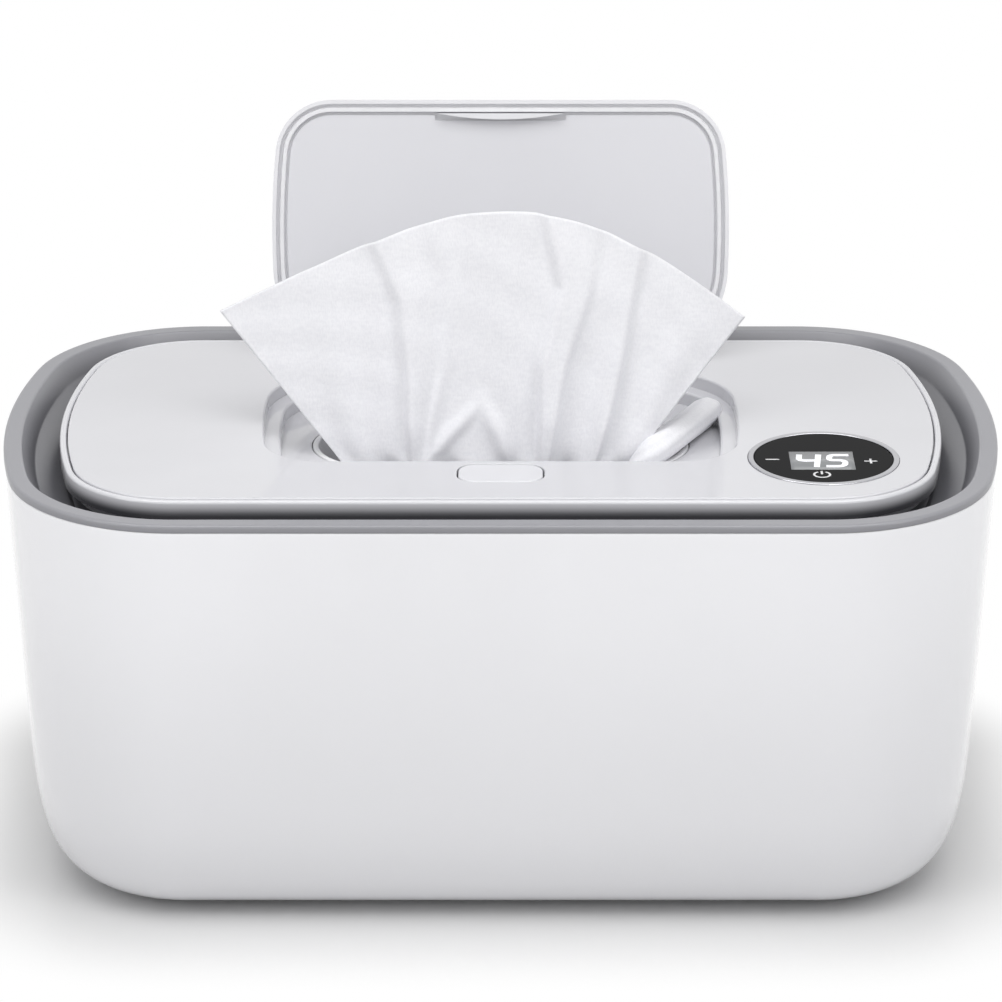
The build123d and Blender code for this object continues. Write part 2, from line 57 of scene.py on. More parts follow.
front_view.rotation_euler = (math.radians(90 - 20.985), 0, 0)
bpy.context.scene.collection.objects.link(front_view)
bpy.context.scene.camera = front_view
bpy.context.scene.view_settings.view_transform = "Standard"


# ---------------------------------------------------------------- studio
# A white sweep that holds the warmer's shadow close to it and runs out to plain white, a softbox
# over the front edge, one at each front corner and a pale room all round that looks plain white.
class Value:
    """One output of a node in a finish; sums, products and a comparison on it add Math nodes."""

    def __init__(self, finish, socket):
        self.finish = finish
        self.socket = socket

    def math(self, operation, *terms):
        return self.finish.node("Math", {"operation": operation}, dict(enumerate(terms)))

    def __add__(self, other):
        return self.math("ADD", self, other)

    def __sub__(self, other):
        return self.math("SUBTRACT", self, other)

    def __rsub__(self, other):
        return self.math("SUBTRACT", other, self)

    def __mul__(self, other):
        return self.math("MULTIPLY", self, other)

    def __gt__(self, other):
        return self.math("GREATER_THAN", self, other)

    __radd__ = __add__
    __rmul__ = __mul__


def shade(red, green, blue):
    """A colour as a screen shows it, 0 to 255, turned to the linear values that light is worked out in."""
    level = np.array([red, green, blue]) / 255
    linear = np.where(level <= 0.04045, level / 12.92, ((level + 0.055) / 1.055) ** 2.4)
    return (*linear.tolist(), 1.0)


class Finish:
    """A node material, or the room's nodes, in the making."""

    def __init__(self, name, owner=None):
        self.material = owner or bpy.data.materials.new(name)
        self.material.use_nodes = True
        self.tree = self.material.node_tree
        self.tree.nodes.clear()

    def node(self, kind, settings=None, sockets=None, out=0):
        """Adds a node: its settings come first, then the values or links of its sockets."""
        made = self.tree.nodes.new("ShaderNode" + kind)
        for name, setting in (settings or {}).items():
            if name == "stops":
                for (place, colour), stop in zip(setting, made.color_ramp.elements):
                    stop.position, stop.color = place, colour
            else:
                setattr(made, name, setting)
        for name, value in (sockets or {}).items():
            if isinstance(value, Value):
                self.tree.links.new(value.socket, made.inputs[name])
            else:
                made.inputs[name].default_value = value
        return Value(self, made.outputs[out])

    def place(self, scale=(1, 1, 1), turn=(0, 0, 0)):
        """Object coordinates in metres, stretched and turned."""
        here = self.node("TexCoord", out="Object")
        return self.node("Mapping", {}, {"Vector": here, "Scale": scale, "Rotation": turn})

    def cloud(self, scale, detail=2.0, stretch=(1, 1, 1), turn=(0, 0, 0)):
        """Soft noise from 0 to 1, scale lumps to the metre."""
        sockets = {"Vector": self.place(stretch, turn), "Scale": scale, "Detail": detail}
        return self.node("TexNoise", {}, sockets)

    def ease(self, value, low, high, to_low=0.0, to_high=1.0):
        """Value run smoothly from low and high to the two given ends."""
        sockets = {"Value": value, "From Min": low, "From Max": high, "To Min": to_low, "To Max": to_high}
        return self.node("MapRange", {"interpolation_type": "SMOOTHSTEP"}, sockets)

    def mix(self, factor, first, second):
        """Colour that goes from first to second."""
        return self.node("Mix", {"data_type": "RGBA"}, {0: factor, 6: first, 7: second}, out=2)

    def relief(self, height, depth, below=None):
        """Normal of a surface raised by height times depth, in metres."""
        sockets = {"Height": height, "Distance": depth, "Strength": 1.0}
        if below is not None:
            sockets["Normal"] = below
        return self.node("Bump", {}, sockets)

    def surface(self, **sockets):
        """Principled surface; its sockets are given with _ for a blank."""
        named = {name.replace("_", " "): value for name, value in sockets.items()}
        shader = self.node("BsdfPrincipled", {}, named)
        self.tree.links.new(shader.socket, self.tree.nodes.new("ShaderNodeOutputMaterial").inputs[0])
        return self


def grid_mesh(name, grids):
    """One smooth mesh from grids of points in millimetres, each (rows, columns, 3) with whether its
    rows and its columns close. Faces look along column step x row step; shared points are merged."""
    points, faces, count = [], [], 0
    for grid, close_rows, close_columns in grids:
        rows, columns = grid.shape[:2]
        index = np.arange(rows * columns).reshape(rows, columns) + count
        if close_columns:
            index = np.hstack([index, index[:, :1]])
        if close_rows:
            index = np.vstack([index, index[:1]])
        cells = [index[:-1, :-1], index[:-1, 1:], index[1:, 1:], index[1:, :-1]]
        faces.append(np.stack(cells, -1).reshape(-1, 4))
        points.append(grid.reshape(-1, 3))
        count += rows * columns
    mesh = bpy.data.meshes.new(name)
    mesh.from_pydata((np.concatenate(points) * 0.001).tolist(), [], np.concatenate(faces).tolist())
    merged = bmesh.new()
    merged.from_mesh(mesh)
    bmesh.ops.remove_doubles(merged, verts=merged.verts, dist=1e-6)
    merged.to_mesh(mesh)
    merged.free()
    mesh.polygons.foreach_set("use_smooth", np.ones(len(mesh.polygons), bool))
    return mesh


def put(name, mesh, finish):
    """An object for a mesh, in its finish, linked into the scene."""
    thing = bpy.data.objects.new(name, mesh)
    mesh.materials.clear()
    mesh.materials.append(finish.material)
    bpy.context.scene.collection.objects.link(thing)
    return thing


def seen_rays(finish):
    """Over a half for rays from the camera and for those that a gloss or a clear piece passes on."""
    camera, glossy, clear = [
        finish.node("LightPath", out="Is " + kind + " Ray") for kind in ("Camera", "Glossy", "Transmission")
    ]
    return camera + glossy + clear


SHADOW_HALF = (0.085, 0.035, 0)    # the block on the floor that the fading is measured from, in metres
SHADOW_FADE = (0.030, 0.068)
sweep_finish = Finish("white_sweep")
away = sweep_finish.node("VectorMath", {"operation": "ABSOLUTE"}, {0: sweep_finish.place()})
away = sweep_finish.node("VectorMath", {"operation": "SUBTRACT"}, {0: away, 1: SHADOW_HALF})
away = sweep_finish.node("VectorMath", {"operation": "MAXIMUM"}, {0: away, 1: (0, 0, 0)})
away = sweep_finish.node("VectorMath", {"operation": "LENGTH"}, {0: away}, out="Value")
fading = sweep_finish.ease(away, *SHADOW_FADE)
paper = sweep_finish.node("BsdfPrincipled", {}, {
    "Base Color": shade(222, 222, 222), "Roughness": sweep_finish.cloud(9, 3) * 0.06 + 0.2,
})
glow = sweep_finish.node("Emission", {}, {"Color": (1, 1, 1, 1), "Strength": 1.0})
sweep = sweep_finish.node("MixShader", {}, {0: (seen_rays(sweep_finish) > 0.5) * fading, 1: paper, 2: glow})
sweep_finish.tree.links.new(sweep.socket, sweep_finish.tree.nodes.new("ShaderNodeOutputMaterial").inputs[0])

reach = np.linspace(-4000, 4000, 9)
sweep_x, sweep_y = np.meshgrid(reach, reach)
sweep_grid = np.stack([sweep_x, sweep_y, np.zeros_like(sweep_x)], -1)
white_sweep = put("white_sweep", grid_mesh("white_sweep", [(sweep_grid, False, False)]), sweep_finish)

room = bpy.data.worlds.new("room")
bpy.context.scene.world = room
room_light = Finish("room", room)
strength = (seen_rays(room_light) > 0.5) * 0.62 + 0.38
air = room_light.node("Background", {}, {"Color": (1, 1, 1, 1), "Strength": strength})
room_light.tree.links.new(air.socket, room_light.tree.nodes.new("ShaderNodeOutputWorld").inputs[0])


def softbox(name, place, aim, across, high, watts):
    """Rectangular lamp at place that faces aim."""
    lamp = bpy.data.lights.new(name, "AREA")
    lamp.shape, lamp.size, lamp.size_y, lamp.energy = "RECTANGLE", across, high, watts
    stand = bpy.data.objects.new(name, lamp)
    stand.location = place
    stand.rotation_euler = (Vector(aim) - Vector(place)).to_track_quat("-Z", "Y").to_euler()
    bpy.context.scene.collection.objects.link(stand)


softbox("softbox_over", (0, -0.35, 0.95), (0, -0.02, 0.06), 1.1, 0.6, 6.0)
softbox("softbox_left", (-0.75, -0.55, 0.45), (-0.08, 0, 0.05), 0.35, 0.8, 1.7)
softbox("softbox_right", (0.75, -0.55, 0.45), (0.08, 0, 0.05), 0.35, 0.8, 1.7)


# ---------------------------------------------------------------- tub
# The white outer shell, an injection moulding in polished ABS 2.4 mm thick: drafted walls that turn
# under to the base, bowed ends, and a round hole at the back for the power socket.
TUB = (125.0, 74.0, 190.0, 43.0)    # half width, half depth, bow radius and corner radius at the rim
RIM_TOP = 109.5
TUB_LEAN = 0.0515
SOCKET_Z, SOCKET_R, SOCKET_PATCH = 25.0, 4.1, 8.0


def moulded(name, colour, roughness, peel=0.000012, grain=0.0, coat=0.0, patches=0.035, painted_shade=None):
    """Plastic as it comes from the mould: slow flow marks in its tone and gloss, the slight waves of
    a moulded face, an orange peel of 1 mm and, on a textured tool, a fine grain. The last argument is
    a darker tone for the foot of a piece and the two heights that it fades out between: painted shade,
    not lit, so without it the piece has one even colour."""
    finish = Finish(name)
    flow = finish.cloud(14, 3, stretch=(1, 1.6, 0.6))
    wear = finish.cloud(260, 4, stretch=(1, 0.22, 1), turn=(0, 0.4, 0.7))
    dark = tuple(part * (1 - patches) for part in colour[:3]) + (1.0,)
    gloss = roughness + (flow - 0.5) * roughness * 0.25 + (wear - 0.5) * roughness * 0.22
    normal = finish.relief(finish.cloud(22, 1), 0.00005)
    normal = finish.relief(finish.cloud(900, 1), peel, normal)
    if grain:
        normal = finish.relief(finish.cloud(5200, 2), grain, normal)
    tone = finish.mix(finish.ease(flow, 0.3, 0.7), dark, colour)
    # Painted shade: the colour runs to a darker tone towards the foot of the piece, between two heights.
    if painted_shade:
        height = finish.node("SeparateXYZ", {}, {0: finish.place()}, out="Z")
        tone = finish.mix(finish.ease(height, painted_shade[1], painted_shade[2]), painted_shade[0], tone)
    return finish.surface(
        Base_Color=tone, Roughness=gloss,
        Normal=normal, Coat_Weight=coat, Coat_Roughness=0.04, IOR=1.53,
    )


def plan_line(half_x, half_y, end_r, corner_r, stops=()):
    """A plan line, anticlockwise from above: bowed ends, corner arcs and straight long sides, all
    tangent. Each point is centre + radius * (cos angle, sin angle); a line drawn in by an inset has
    the same centres and angles and a radius less by the inset. Stops are points that the back's
    straight has to pass through."""
    end_x = half_x - end_r
    corner_y = half_y - corner_r
    corner_x = end_x + math.sqrt((end_r - corner_r) ** 2 - corner_y ** 2)
    turn = math.asin(corner_y / (end_r - corner_r))
    quarter = math.pi / 2
    marks = [corner_x, *stops, -corner_x]
    # Each run: first and last angle, first and last centre x, centre y, radius and number of points.
    runs = [
        (-turn, turn, end_x, end_x, 0.0, end_r, 40),
        (turn, quarter, corner_x, corner_x, corner_y, corner_r, 28),
        *[(quarter, quarter, a, b, corner_y, corner_r, 12) for a, b in zip(marks, marks[1:])],
        (quarter, math.pi - turn, -corner_x, -corner_x, corner_y, corner_r, 28),
        (math.pi - turn, math.pi + turn, -end_x, -end_x, 0.0, end_r, 40),
        (math.pi + turn, 3 * quarter, -corner_x, -corner_x, -corner_y, corner_r, 28),
        (3 * quarter, 3 * quarter, -corner_x, corner_x, -corner_y, corner_r, 24),
        (3 * quarter, 4 * quarter - turn, corner_x, corner_x, -corner_y, corner_r, 28),
    ]
    share = [np.arange(run[6]) / run[6] for run in runs]
    angle = np.concatenate([run[0] + (run[1] - run[0]) * part for run, part in zip(runs, share)])
    centre_x = np.concatenate([run[2] + (run[3] - run[2]) * part for run, part in zip(runs, share)])
    centre_y = np.concatenate([np.full(len(part), run[4]) for run, part in zip(runs, share)])
    radius = np.concatenate([np.full(len(part), run[5]) for run, part in zip(runs, share)])
    return np.stack([centre_x, centre_y], -1), radius, np.stack([np.cos(angle), np.sin(angle)], -1)


def carried(line, profile):
    """A profile of (inset, height) points carried round a plan line; rows follow the profile."""
    centre, radius, outward = line
    inset, height = np.asarray(profile, float).T
    plan = centre + (radius - inset[:, None])[..., None] * outward
    return np.concatenate([plan, np.broadcast_to(height[:, None, None], plan.shape[:2] + (1,))], -1)


tub_line = plan_line(*TUB, stops=(SOCKET_PATCH, -SOCKET_PATCH))


def turned_under(low, rise, run, power, angles):
    """Wall profile: below low + rise the inset follows a superellipse in to run, on top of the lean."""
    height = low + rise * (1 - np.sin(angles) ** (2 / power))
    inset = run * (1 - np.cos(angles) ** (2 / power)) + TUB_LEAN * (RIM_TOP - height)
    return np.stack([inset, height], -1)


FOOT_Z, TURN_RISE, TURN_RUN, TURN_POWER = 1.0, 34.4, 22.8, 3.0
PATCH_STEPS = 9
patch_ends = (SOCKET_Z - SOCKET_PATCH, SOCKET_Z + SOCKET_PATCH)
patch_angles = [math.asin((1 - (z - FOOT_Z) / TURN_RISE) ** (TURN_POWER / 2)) for z in patch_ends]
curl = np.concatenate([
    np.linspace(math.pi / 2, patch_angles[0], 24)[:-1], np.linspace(*patch_angles, PATCH_STEPS), [0.0],
])
wall = turned_under(FOOT_Z, TURN_RISE, TURN_RUN, TURN_POWER, curl)
straight_z = 107.2 - 71.8 * np.linspace(0.93, 0.02, 9)
straight = np.stack([TUB_LEAN * (RIM_TOP - straight_z), straight_z], -1)
roll = np.array([[0.11, 107.1], [0.14, 107.35], [0.28, 107.48], [0.7, 107.5], [1.6, 107.5]])
flat = np.array([[34.0, FOOT_Z], [31.0, FOOT_Z]])
patch_row = len(flat) + 23
skin = carried(tub_line, np.concatenate([flat, wall, straight, roll]))
on_patch = np.isclose(np.abs(skin[patch_row, :, 0]), SOCKET_PATCH) & (skin[patch_row, :, 1] > 0)
first, last = np.flatnonzero(on_patch)
rows = slice(patch_row, patch_row + PATCH_STEPS)
block = skin[rows, first:last + 1]
ring = np.concatenate([block[-1, :-1], block[:0:-1, -1], block[0, :0:-1], block[:-1, 0]])
middle = np.array([0.0, 0.0, SOCKET_Z])
spoke = (ring - middle) * (1, 0, 1)
edge = spoke / np.linalg.norm(spoke, axis=1, keepdims=True)
steps = np.array([SOCKET_R, SOCKET_R + 0.15, SOCKET_R + 0.6])[:, None, None] * edge
steps = np.concatenate([steps, steps[-1] + (spoke - steps[-1]) * np.array([0.35, 0.7, 1.0])[:, None, None]])
steps = steps + middle
steps[..., 1] = np.interp(steps[..., 2], block[:, 0, 2], block[:, 0, 1])
around = np.concatenate([skin[rows, last:], skin[rows, :first + 1]], 1)
# The real shell is one even white. This painted fade stands in for the photograph's light.
tub_fade = (shade(229, 229, 232), 0.004, 0.106)
tub_white = moulded("tub_white", shade(250, 250, 253), 0.13, coat=0.35, painted_shade=tub_fade)
tub_mesh = grid_mesh("tub", [
    (skin[:patch_row + 1], False, True), (skin[patch_row + PATCH_STEPS - 1:], False, True),
    (around, False, False), (steps, False, True),
])
tub = put("tub", tub_mesh, tub_white)
tub_wall = tub.modifiers.new("wall", "SOLIDIFY")
tub_wall.thickness, tub_wall.offset, tub_wall.use_even_offset = 0.0024, -1, True
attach(tub, "base")
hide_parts("outer_shell")


# ---------------------------------------------------------------- rim
# The grey rim is a second moulding pressed onto the shell: a flat land, a sloping wall down to the
# finger channel, the ledge for the lid's seal and a spigot into the tank. Two small clips at the front.
def softened(corners, closed=True, turns=6, guard=0.1):
    """Rounds a profile's corners (x, y, radius). Each becomes an arc tangent to both its sides,
    with a point just outside each end of it that keeps the flats flat."""
    corners = np.asarray(corners, float)
    here, radius = corners[:, :2], corners[:, 2]
    inner = slice(None) if closed else slice(1, -1)
    before = (np.roll(here, 1, 0) - here)[inner]
    after = (np.roll(here, -1, 0) - here)[inner]
    before /= np.linalg.norm(before, axis=1, keepdims=True)
    after /= np.linalg.norm(after, axis=1, keepdims=True)
    half = np.arccos(np.clip((before * after).sum(1), -1, 1)) / 2
    size = radius[inner]
    tip = here[inner]
    reach = (size / np.tan(half))[:, None]
    bisector = before + after
    bisector /= np.linalg.norm(bisector, axis=1, keepdims=True)
    centre = tip + bisector * (size / np.sin(half))[:, None]
    start, end = tip + before * reach, tip + after * reach
    sweep_angle = (math.pi - 2 * half)[:, None, None]
    share = np.linspace(0, 1, turns)[None, :, None]
    arc = np.sin((1 - share) * sweep_angle) * (start - centre)[:, None]
    arc = (arc + np.sin(share * sweep_angle) * (end - centre)[:, None]) / np.sin(sweep_angle)
    arc = arc + centre[:, None]
    rounded = np.concatenate([(start + before * guard)[:, None], arc, (end + after * guard)[:, None]], 1)
    rounded = rounded.reshape(-1, 2)
    return rounded if closed else np.concatenate([here[:1], rounded, here[-1:]])


def lozenge(centre, halves, power=0.5, rows=13, columns=24):
    """Rounded block: a superellipsoid, signed powers of the sphere's cosines and sines."""
    def curve(values):
        return np.sign(values) * np.abs(values) ** power
    rise = np.linspace(-math.pi / 2, math.pi / 2, rows)[:, None]
    round_it = np.arange(columns)[None] * 2 * math.pi / columns
    form = np.stack([
        curve(np.cos(rise)) * curve(np.cos(round_it)), curve(np.cos(rise)) * curve(np.sin(round_it)),
        curve(np.sin(rise)) * np.ones_like(round_it),
    ], -1)
    return form * halves + centre


rim_profile = softened([
    (0, 107.5, 0.25), (0, 109.5, 0.8), (4.4, 109.5, 0.8), (7.6, 104.5, 1.2), (15, 101.3, 0.4),
    (16, 100.5, 0.25), (24, 100.5, 0.5), (24, 94, 0.3), (22.2, 94, 0.3), (22.2, 98.7, 0.2),
    (15.4, 98.7, 0.3), (14.2, 99.5, 0.3), (6.6, 102.8, 0.4), (5.0, 102.8, 0.3), (5.0, 99.5, 0.3),
    (3.2, 99.5, 0.3), (3.2, 107.5, 0.2),
])
rim_grids = [(carried(tub_line, rim_profile), True, True)]
rim_grids += [
    (lozenge((side * 78.5 + step, -69.1, 107.2), (0.55, 0.7, 1.6)), False, True)
    for side in (-1, 1) for step in (-0.55, 0.55)
]
# Painted shade: the grey darkens from the land down the inner wall into the channel, where the channel lies
# in shade.
rim_painted_shade = (shade(104, 104, 109), 0.1045, 0.1094)
rim_grey = moulded("rim_grey", shade(150, 150, 155), 0.3, grain=0.000002, painted_shade=rim_painted_shade)
rim = put("rim", grid_mesh("rim", rim_grids), rim_grey)
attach(rim, "base")
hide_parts("rim_collar")


# ---------------------------------------------------------------- tank and base
# Under the rim hangs the light grey tank, screwed to the base cover from below through four bosses.
# The base cover is plain white, textured by the tool, on four rubber feet.
def dress(finish, *names):
    """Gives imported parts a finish."""
    for name in names:
        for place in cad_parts[name].material_slots:
            place.material = finish.material


def metal(name, colour, roughness, along=(1, 1, 1), lines=900):
    """Bare metal: fine lines left by rolling or turning, and faint clouds in its tone."""
    finish = Finish(name)
    grainy = finish.cloud(lines, 3, stretch=along)
    tarnish = finish.cloud(60, 3)
    deep = tuple(part * 0.82 for part in colour[:3]) + (1.0,)
    return finish.surface(
        Base_Color=finish.mix(tarnish, deep, colour), Metallic=1.0,
        Roughness=grainy * roughness * 0.6 + roughness * 0.7, Normal=finish.relief(grainy, 0.000004),
    )


dress(moulded("tank_grey", shade(205, 205, 208), 0.35, grain=0.000003), "inner_tank")
dress(moulded("base_white", shade(232, 232, 234), 0.45, grain=0.000005), "base_cover")
dress(metal("screw_steel", shade(196, 196, 200), 0.3), "base_screws", "lid_screws", "board_screws")

rubber = Finish("foot_rubber")
dust = rubber.cloud(700, 4)
rubber.surface(
    Base_Color=rubber.mix(dust, shade(150, 150, 152), shade(176, 176, 178)), Roughness=dust * 0.15 + 0.68,
    Normal=rubber.relief(rubber.cloud(2600, 2), 0.000012),
)
dress(rubber, "rubber_feet")


# ---------------------------------------------------------------- power way
# The socket behind the back wall, two leads up the gap behind the tank, and the sprung brass pins
# in a black block on the rim's ledge, where the lid's pads come down on them.
socket_black = moulded("socket_black", shade(34, 34, 37), 0.38, grain=0.000004)
dress(socket_black, "dc_inlet", "contact_block", "thermal_cutout")
dress(metal("contact_brass", shade(214, 184, 112), 0.22), "inlet_contacts", "contact_pins", "contact_pads")
dress(moulded("lead_jacket", shade(52, 52, 56), 0.5, peel=0.00003), "inlet_leads")


# ---------------------------------------------------------------- lid
# A rounded outer band, then a fine dark groove, then the glossy top panel with the flip cover's
# recess. Below them the grey half with the plug and, in its flange, the silicone seal.
lid_gloss = moulded("lid_gloss", shade(215, 215, 219), 0.1, coat=0.3)
frame_profile = softened([
    (14, 105.4, 0.3), (14, 110.4, 0.85), (15.75, 110.4, 0.85), (15.75, 108.2, 0.15), (19, 108.2, 0.3),
    (19, 106.3, 0.3), (15.9, 106.3, 0.15), (15.9, 105.4, 0.2),
], guard=0.03)
# Painted shade: the band's side darkens to near black towards its foot, where it faces the dark channel.
band_painted_shade = (shade(52, 52, 56), 0.1062, 0.1098)
band_gloss = moulded("band_gloss", shade(222, 222, 226), 0.1, coat=0.3, painted_shade=band_painted_shade)
band_mesh = grid_mesh("lid_band", [(carried(tub_line, frame_profile), True, True)])
lid_band = put("lid_band", band_mesh, band_gloss)
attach(lid_band, "lid")
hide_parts("lid_frame")
dress(lid_gloss, "lid_top_panel")
dress(moulded("tray_grey", shade(150, 150, 154), 0.3, grain=0.000003), "lid_tray")

silicone = Finish("seal_silicone")
bloom = silicone.cloud(400, 3)
silicone.surface(
    Base_Color=silicone.mix(bloom, shade(176, 176, 180), shade(190, 190, 194)), Roughness=bloom * 0.1 + 0.5,
    Normal=silicone.relief(silicone.cloud(1500, 2), 0.000008),
)
dress(silicone, "lid_seal")
dress(moulded("insert_white", shade(236, 236, 238), 0.22, peel=0.00001), "dispensing_insert")


# ---------------------------------------------------------------- heater
# Aluminium plate under the lid, an amber film with its etched track on it, a cut-out switch and a
# sensor bead in windows of the tray.
dress(metal("plate_aluminium", shade(206, 208, 212), 0.28, along=(0.04, 1, 1), lines=2400), "heater_plate")
film = Finish("film_amber")
track = film.node("TexWave", {"wave_type": "BANDS", "bands_direction": "Y"}, {
    "Vector": film.place(), "Scale": 42.0, "Distortion": 1.5, "Detail Scale": 0.4,
})
etched = film.ease(track, 0.55, 0.62)
film.surface(
    Base_Color=film.mix(etched, shade(196, 128, 46), shade(120, 70, 34)), Roughness=0.3 - etched * 0.08,
    Metallic=etched * 0.6, Normal=film.relief(etched, 0.00002),
)
dress(film, "heater_film")
bead = Finish("sensor_bead")
glaze = bead.cloud(1400, 2)
bead.surface(
    Base_Color=bead.mix(glaze, shade(84, 48, 30), shade(120, 74, 44)), Roughness=glaze * 0.1 + 0.15,
    Normal=bead.relief(glaze, 0.00002),
)
dress(bead, "temperature_sensor")


# ---------------------------------------------------------------- hinge and springs
# A 2 mm steel pin through the lid's ears and the cover's barrels, a torsion spring that throws the
# cover open, and the spring under the button.
spring_steel = metal("pin_steel", shade(186, 187, 192), 0.2, along=(0.1, 1, 1))
dress(spring_steel, "hinge_pin", "hinge_spring", "button_spring", "touch_springs")


# ---------------------------------------------------------------- display
# A black gloss lens in a thin ring, set in the panel over the board. Behind it a grey window shows
# the temperature in two digits; minus, plus and power marks are printed on it and touched.
DISPLAY_X, DISPLAY_Y, LENS_TOP = 79.8, -30.6, 110.6


def ribbon(path, width, low, high):
    """Flat bar of ink along a path of (x, y) points: its section is a thin rectangle, closed at the ends."""
    path = np.asarray(path, float)
    ahead = np.gradient(path, axis=0)
    ahead /= np.linalg.norm(ahead, axis=1, keepdims=True)
    side = np.stack([-ahead[:, 1], ahead[:, 0]], -1) * width / 2
    section = [(-1, low), (-1, high), (1, high), (1, low)]
    rows = [np.concatenate([path + side * s, np.full((len(path), 1), z)], 1) for s, z in section]
    bar = np.stack(rows, 1)
    ends = [np.broadcast_to(bar[i].mean(0), (1, 4, 3)) for i in (0, -1)]
    return np.concatenate([ends[0], bar, ends[1]])


def leaned(path, lean=0.1):
    """Slants a mark to the right as it rises."""
    path = np.array(path, float)
    path[:, 0] += path[:, 1] * lean
    return path


def ink(name, colour, glow):
    """Printed or lit mark: even colour with the slight grain of a screen print."""
    finish = Finish(name)
    grain = finish.cloud(4000, 2)
    dim = tuple(part * 0.88 for part in colour[:3]) + (1.0,)
    tint = finish.mix(grain, dim, colour)
    return finish.surface(
        Base_Color=tint, Roughness=grain * 0.05 + 0.16, Emission_Color=tint, Emission_Strength=glow,
        Normal=finish.relief(grain, 0.000002),
    )


def mark(name, bars, finish):
    """Ink bars on the lens, each (path about the display's middle, width, low, high)."""
    grids = []
    for path, width, low, high in bars:
        path = np.asarray(path, float)[:, :2] + (DISPLAY_X, DISPLAY_Y)
        grids.append((ribbon(path, width, LENS_TOP + low, LENS_TOP + high), False, True))
    piece = put(name, grid_mesh(name, grids), finish)
    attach(piece, "lid")
    return piece


window_bar = [np.stack([np.linspace(-8.4, 7.4, 12), np.full(12, -1.9)], -1), 12.6, -0.02, 0.03]
mark("display_window", [window_bar], ink("window_grey", shade(142, 144, 146), 0.0))
four_left = softened([(-6.6, 4.2, 0), (-6.6, 0.0, 1.4), (-1.6, 0.0, 0)], closed=False)
four_right = np.stack([np.full(8, -1.9), np.linspace(4.2, -4.6, 8)], -1)
five = softened([
    (5.6, 3.8, 0), (0.9, 3.8, 1.2), (0.9, 0.2, 1.2), (5.0, 0.2, 1.6), (5.0, -4.0, 1.6), (0.4, -4.0, 0),
], closed=False)
digits = [(leaned(path) + (0.3, -1.8), 1.5, 0.02, 0.06) for path in (four_left, four_right, five)]
mark("display_digits", digits, ink("lit_white", shade(250, 251, 255), 0.35))

turn = np.linspace(math.radians(118), math.radians(422), 40)
power_ring = np.stack([np.cos(turn), np.sin(turn)], -1) * 1.95 + (-1.1, -11.6)
power_bar = np.stack([np.full(5, -1.1), np.linspace(-9.2, -11.4, 5)], -1)
minus_bar = np.stack([np.linspace(-14.4, -11.0, 5), np.full(5, -1.0)], -1)
plus_bar = np.stack([np.linspace(9.9, 13.1, 5), np.full(5, -2.2)], -1)
plus_post = np.stack([np.full(5, 11.5), np.linspace(-0.6, -3.8, 5)], -1)
symbols = [(path, 0.55, -0.02, 0.04) for path in (power_ring, power_bar, minus_bar, plus_bar)]
symbols.append((plus_post, 0.55, -0.02, 0.045))
mark("touch_marks", symbols, ink("mark_white", shade(232, 232, 234), 0.1))

dress(metal("bezel_grey", shade(196, 196, 200), 0.2), "display_bezel")
lens = Finish("lens_black")
smear = lens.cloud(120, 4, stretch=(1, 0.4, 1), turn=(0, 0, 0.6))
lens.surface(
    Base_Color=lens.mix(smear, shade(4, 4, 6), shade(9, 9, 11)), Roughness=smear * 0.08 + 0.05,
    Normal=lens.relief(lens.cloud(40, 1), 0.000004), IOR=1.09,
)
dress(lens, "display_lens")
dress(moulded("module_grey", shade(120, 122, 124), 0.4), "display_module")
board = Finish("board_green")
pads = board.node("TexBrick", {}, {"Vector": board.place((1, 1, 0)), "Scale": 190.0, "Mortar Size": 0.06})
pads = board.node("RGBToBW", {}, {0: pads})
copper = board.ease(pads, 0.1, 0.3)
board.surface(
    Base_Color=board.mix(copper, shade(24, 96, 58), shade(34, 124, 74)), Roughness=0.4 - copper * 0.1,
    Normal=board.relief(copper, 0.00001),
)
dress(board, "control_board")


# ---------------------------------------------------------------- flip cover
# One moulding in the lid's gloss white, its inner face lined with a satin panel and a soft sealing
# ridge all round; the crescent near the free edge is the lip that the catch holds.
dress(moulded("cover_gloss", shade(232, 232, 235), 0.12, coat=0.3), "flip_cover")
dress(moulded("liner_satin", shade(222, 222, 226), 0.24, peel=0.00001), "cover_liner")
ridge = Finish("seal_soft")
touch = ridge.cloud(500, 3)
ridge.surface(
    Base_Color=ridge.mix(touch, shade(226, 226, 229), shade(238, 238, 240)), Roughness=touch * 0.1 + 0.42,
    Normal=ridge.relief(ridge.cloud(1800, 2), 0.000006),
)
dress(ridge, "cover_seal")


# ---------------------------------------------------------------- catch button
# A hollow button in the lid's gloss white, flush in its guide, with a hair of gap all round.
dress(moulded("button_gloss", shade(224, 224, 228), 0.1, coat=0.3), "latch_button")


# ---------------------------------------------------------------- wipe
# One moist non-woven wipe, drawn up through the mouth: gathered to the slot's width, fanned out
# above in soft pleats that lean back, and hanging in folds in the tank below. A rolled-up fold of
# it lies over the mouth's right end, along the recess's floor.
MOUTH_Y, MOUTH_Z, LEAN = -12.0, 103.0, 0.125


def pleat(across, line, width, depth, left=1.0, right=1.0):
    """One soft ridge across the sheet: a bell curve round its line, its flanks steeper by left and right."""
    offset = (across - line) / width
    offset = np.where(offset > 0, offset * right, offset * left)
    return depth * np.exp(-offset ** 2)


def smoothed(values, half):
    """Moving average over 2 half + 1 values, with the ends mirrored through their own value."""
    count = 2 * half + 1
    return np.convolve(np.pad(values, half, "reflect", reflect_type="odd"), np.ones(count) / count, "valid")


